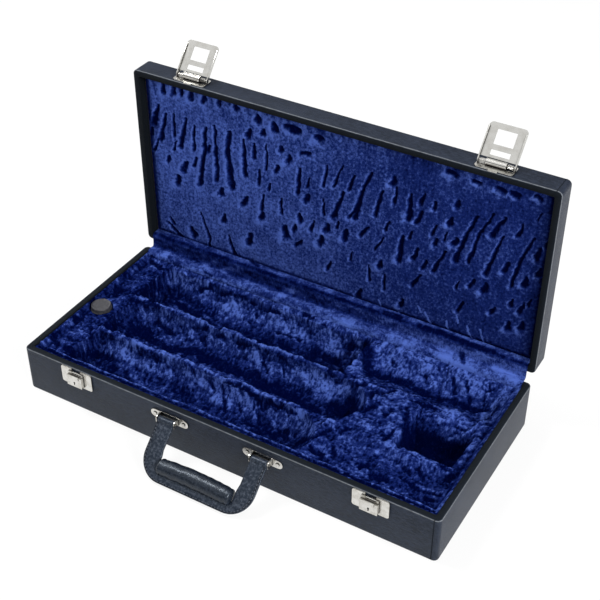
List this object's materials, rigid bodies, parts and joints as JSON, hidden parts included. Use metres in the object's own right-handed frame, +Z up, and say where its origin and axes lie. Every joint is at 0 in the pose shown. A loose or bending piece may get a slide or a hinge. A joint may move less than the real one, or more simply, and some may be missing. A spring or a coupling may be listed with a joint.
{
  "type": "recorder case",
  "caption": "Covered wooden case for a jointed recorder, with hinged lid, hasp locks, strap handle, plush channel bed and a grease pot.",
  "frame": {"origin": "middle of the tray's flat bottom face", "axes": "+X along the case to the right, +Y back to the lid hinge, +Z up; the lid stands open at rest"},
  "size_m": [0.46, 0.2954, 0.2988],
  "materials": {
    "leatherette": "charcoal leatherette with a fine grain",
    "velvet": "deep blue plush velvet",
    "nickel": "nickel plate",
    "leather": "smooth dark leather",
    "board": "plain thin board",
    "pot_plastic": "dark moulded plastic"
  },
  "bodies": {
    "tray": {"tray_cover": "leatherette", "tray_front_board": "board", "tray_back_board": "board", "tray_left_board": "board", "tray_right_board": "board", "tray_bottom_board": "board", "plush_bed": "velvet", "hinge_strip": "velvet", "hinge_tray_leaf_left": "nickel", "hinge_tray_leaf_right": "nickel", "hinge_pin_left": "nickel", "hinge_pin_right": "nickel", "tray_hinge_rivet_left_1": "nickel", "tray_hinge_rivet_left_2": "nickel", "tray_hinge_rivet_right_1": "nickel", "tray_hinge_rivet_right_2": "nickel", "lock_plate_left": "nickel", "lock_plate_right": "nickel", "lock_spring_left": "nickel", "lock_spring_right": "nickel", "handle_plate_left": "nickel", "handle_plate_right": "nickel", "handle_pin_left": "nickel", "handle_pin_right": "nickel", "handle_rivet_left_1": "nickel", "handle_rivet_left_2": "nickel", "handle_rivet_right_1": "nickel", "handle_rivet_right_2": "nickel"},
    "lid": {"lid_cover": "leatherette", "lid_front_board": "board", "lid_back_board": "board", "lid_left_board": "board", "lid_right_board": "board", "lid_top_board": "board", "lid_panel": "velvet", "hinge_lid_leaf_left": "nickel", "hinge_lid_leaf_right": "nickel", "lid_hinge_rivet_left_1": "nickel", "lid_hinge_rivet_left_2": "nickel", "lid_hinge_rivet_right_1": "nickel", "lid_hinge_rivet_right_2": "nickel", "hasp_plate_left": "nickel", "hasp_plate_right": "nickel", "hasp_pin_left": "nickel", "hasp_pin_right": "nickel", "hasp_spring_left": "nickel", "hasp_spring_right": "nickel"},
    "hasp_left_body": {"hasp_left": "nickel"},
    "hasp_right_body": {"hasp_right": "nickel"},
    "slide_left": {"lock_slide_left": "nickel"},
    "slide_right": {"lock_slide_right": "nickel"},
    "tumbler_left": {"lock_tumbler_left": "nickel"},
    "tumbler_right": {"lock_tumbler_right": "nickel"},
    "handle": {"handle_strap": "leather", "handle_grip": "leather"},
    "pot": {"grease_pot": "pot_plastic"},
    "pot_cap": {"grease_pot_cap": "pot_plastic"}
  },
  "joints": [
    {"name": "lid_hinge", "type": "hinge", "parent": "tray", "child": "lid", "pos_m": [0, 0.1097, 0.0546], "axis": [1, 0, 0], "range_deg": [0, 90], "deforming": ["hinge_strip"]},
    {"name": "hasp_left_hinge", "type": "hinge", "parent": "lid", "child": "hasp_left_body", "pos_m": [-0.1636, 0.1177, 0.2713], "axis": [1, 0, 0], "range_deg": [0, 130], "stiffness_Nm_per_rad": 0.004, "springref_deg": -20.05},
    {"name": "hasp_right_hinge", "type": "hinge", "parent": "lid", "child": "hasp_right_body", "pos_m": [0.1636, 0.1177, 0.2713], "axis": [1, 0, 0], "range_deg": [0, 130], "stiffness_Nm_per_rad": 0.004, "springref_deg": -20.05},
    {"name": "lock_left_slide", "type": "slide", "parent": "tray", "child": "slide_left", "axis": [0, 0, -1], "range_m": [0, 0.0012], "stiffness_N_per_m": 400, "springref_m": -0.001, "deforming": ["lock_spring_left"]},
    {"name": "lock_right_slide", "type": "slide", "parent": "tray", "child": "slide_right", "axis": [0, 0, -1], "range_m": [0, 0.0012], "stiffness_N_per_m": 400, "springref_m": -0.001, "deforming": ["lock_spring_right"]},
    {"name": "lock_left_key", "type": "hinge", "parent": "slide_left", "child": "tumbler_left", "pos_m": [-0.1636, -0.107, 0.0374], "axis": [0, -1, 0], "range_deg": [0, 90]},
    {"name": "lock_right_key", "type": "hinge", "parent": "slide_right", "child": "tumbler_right", "pos_m": [0.1636, -0.107, 0.0374], "axis": [0, -1, 0], "range_deg": [0, 90]},
    {"name": "handle_hinge", "type": "hinge", "parent": "tray", "child": "handle", "pos_m": [0, -0.1095, 0.0402], "axis": [1, 0, 0], "range_deg": [-122, 38]},
    {"name": "pot_lift", "type": "slide", "parent": "tray", "child": "pot", "axis": [0, 0, 1], "range_m": [0, 0.01]},
    {"name": "cap_turn", "type": "hinge", "parent": "pot", "child": "pot_cap", "pos_m": [-0.21, -0.005, 0.045], "axis": [0, 0, 1], "range_deg": [0, 360]}
  ]
}
